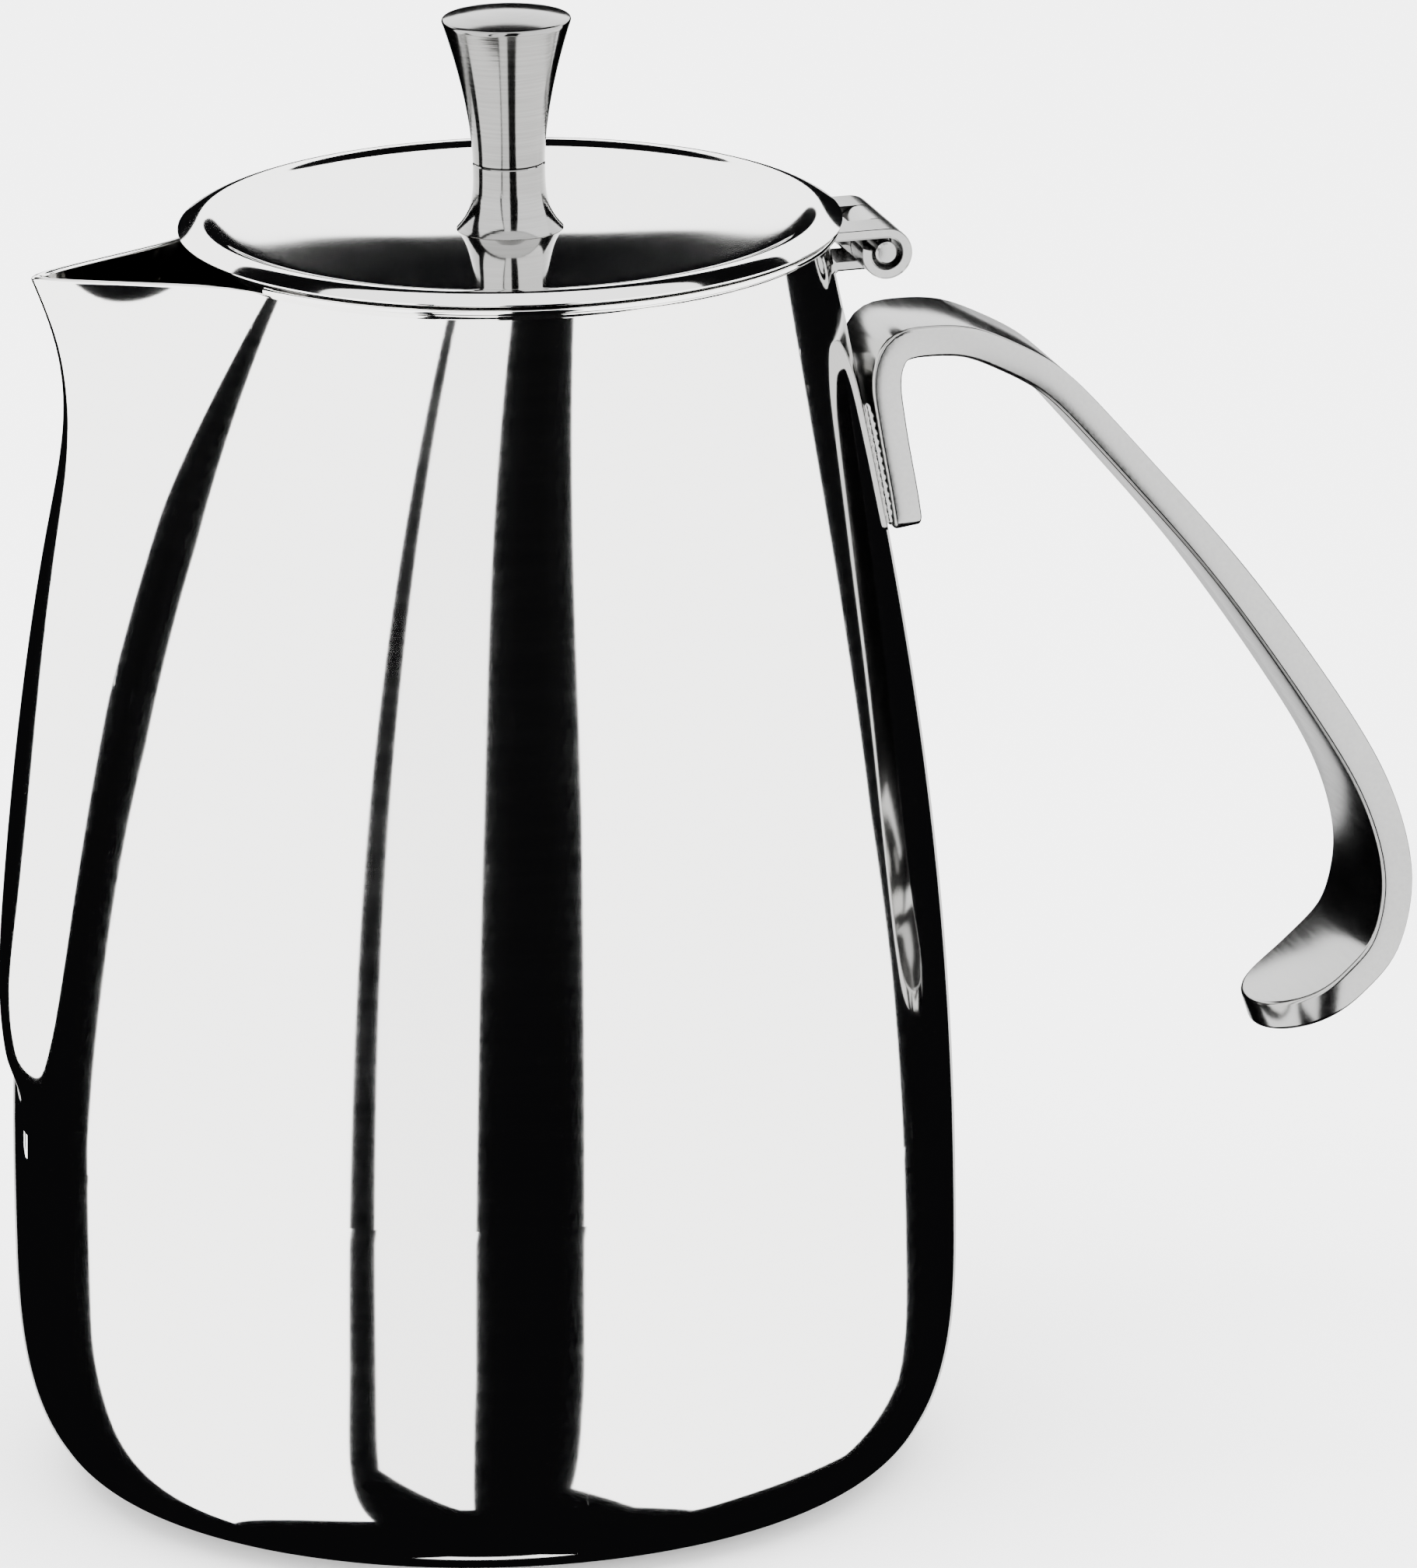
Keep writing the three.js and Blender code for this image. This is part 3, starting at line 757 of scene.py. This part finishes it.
def flat_material(name, colour, strength=None):
    material = bpy.data.materials.new(name)
    material.use_nodes = True
    shader = material.node_tree.nodes["Principled BSDF"]
    shader.inputs["Base Color"].default_value = list(colour) + [1]
    shader.inputs["Roughness"].default_value = 0.9
    if strength is not None:
        shader.inputs["Base Color"].default_value = (0, 0, 0, 1)
        shader.inputs["Specular IOR Level"].default_value = 0
        shader.inputs["Emission Color"].default_value = list(colour) + [1]
        shader.inputs["Emission Strength"].default_value = strength
    return material


def stage_mesh(name, points, faces, material, camera=False, shadow=True):
    mesh = bpy.data.meshes.new(name)
    mesh.from_pydata([tuple(p) for p in points], [], faces)
    mesh.materials.append(material)
    thing = bpy.data.objects.new(name, mesh)
    bpy.context.scene.collection.objects.link(thing)
    thing.visible_camera = camera
    thing.visible_shadow = shadow
    return thing


def direction(azimuth, elevation):
    """Unit vector at an azimuth right of the camera (degrees, seen from above the pot)."""
    a, e = math.radians(azimuth), math.radians(elevation)
    toward = Vector((-math.sin(CAMERA_YAW), -math.cos(CAMERA_YAW), 0))
    right = Vector((math.cos(CAMERA_YAW), -math.sin(CAMERA_YAW), 0))
    flat = toward * math.cos(a) + right * math.sin(a)
    return flat * math.cos(e) + Vector((0, 0, math.sin(e)))


def edge(*points):
    """A panel's edge: one coordinate as a function of the other, from (at, value) pairs."""
    at, values = zip(*sorted(points))
    return lambda x: float(np.interp(x, at, values))


def panel(name, start, end, low, high, strength, distance=1.6):
    """A curved panel round the pot. start and end give azimuth at an elevation; low and high
    give elevation at an azimuth."""
    middle = 0.5 * (start(0) + end(0))
    across = max(4, int(abs(end(0) - start(0)) / 4))
    up = max(4, int(abs(high(middle) - low(middle)) / 5))
    points = []
    for v in np.linspace(0, 1, up + 1):
        for u in np.linspace(0, 1, across + 1):
            rough_azimuth = mix(start(0), end(0), u)
            elevation = mix(low(rough_azimuth), high(rough_azimuth), v)
            azimuth = mix(start(elevation), end(elevation), u)
            points.append(POT_AXIS + direction(azimuth, elevation) * distance)
    row = across + 1
    faces = [(i * row + j, i * row + j + 1, (i + 1) * row + j + 1, (i + 1) * row + j)
             for i in range(up) for j in range(across)]
    return stage_mesh(name, points, faces, flat_material(name, (1, 1, 1), strength), shadow=False)


world = bpy.data.worlds.new("studio")
world.use_nodes = True
world.node_tree.nodes["Background"].inputs["Color"].default_value = (0.004, 0.004, 0.0045, 1)
world.node_tree.nodes["Background"].inputs["Strength"].default_value = 1.0
bpy.context.scene.world = world

LIGHT = 4.6
FILL_LIGHT = 16
panel("softbox_left",
      edge((20, -93), (10, -93), (0, -97), (-10, -105), (-17, -112), (-24, -111), (-50, -115)),
      edge((50, -19), (25, -24), (6, -27.7), (-10, -30.5), (-24, -33.6), (-60, -41)),
      edge((-117, -40), (-100, -57), (-40, -58)), edge((0, 52)), LIGHT)
panel("softbox_middle",
      edge((50, -16.5), (25, -20), (6, -22.6), (-10, -24.8), (-24, -26.7), (-50, -30)),
      edge((50, 1.5), (6, 1.5), (-10, -0.7), (-24, -2.9), (-50, -4.4)),
      edge((-28, -31), (-4, -51)), edge((0, 58)), LIGHT * 0.85)
panel("softbox_right",
      edge((50, 23), (24, 24.3), (4, 26), (-24, 23.2), (-50, 22.9)),
      edge((0, 116), (-8, 117), (-14, 122), (-25, 126), (-38, 118), (-50, 112)),
      edge((23, -41), (50, -53), (80, -57), (117, -38)), edge((0, 56)), LIGHT)
panel("overhead", edge((0, -180)), edge((0, 180)), edge((0, 57)), edge((0, 90)), LIGHT * 0.6)
panel("softbox_back", edge((0, 112)), edge((0, 248)), edge((0, 16)), edge((0, 38)), LIGHT * 0.9)
panel("edge_glow", edge((0, 166)), edge((0, 194)), edge((0, -26)), edge((0, -2)), LIGHT * 0.3)
panel("under_glow", edge((0, 160)), edge((0, 200)), edge((0, -77)), edge((0, -70)), LIGHT * 0.6)

# The camera sees the sheet under the pot. The metal does not, and mirrors the boxes instead, some
# of which reach below the sheet. The fill lights only the sheet.
floor_sheet = flat_material("floor_sheet", (0.88, 0.88, 0.885))
floor = stage_mesh("floor", [(-6, -4, 0), (6, -4, 0), (6, 9, 0), (-6, 9, 0)], [(0, 1, 2, 3)],
                   floor_sheet, camera=True)
floor.visible_glossy = False
fill = panel("floor_fill", edge((0, -180)), edge((0, 180)), edge((0, 50)), edge((0, 90)),
             FILL_LIGHT, distance=2.2)
fill.visible_glossy = False


# ---- Camera ------------------------------------------------------------------------------------

PITCH = 0.2815
ROLL = 0.016
forward = Vector((math.sin(CAMERA_YAW) * math.cos(PITCH), math.cos(CAMERA_YAW) * math.cos(PITCH),
                  -math.sin(PITCH)))
level = Vector((math.cos(CAMERA_YAW), -math.sin(CAMERA_YAW), 0))
above = level.cross(forward)
right = level * math.cos(ROLL) - above * math.sin(ROLL)
above = above * math.cos(ROLL) + level * math.sin(ROLL)
camera_data = bpy.data.cameras.new("camera")
camera_data.sensor_fit = "VERTICAL"
camera_data.sensor_height = 36
camera_data.lens = 400.7
camera_data.clip_end = 30
camera = bpy.data.objects.new("camera", camera_data)
bpy.context.scene.collection.objects.link(camera)
camera.matrix_world = Matrix((
    (right.x, above.x, -forward.x, -0.53786),
    (right.y, above.y, -forward.y, -2.12417),
    (right.z, above.z, -forward.z, 0.7249),
    (0, 0, 0, 1)))
bpy.context.scene.camera = camera
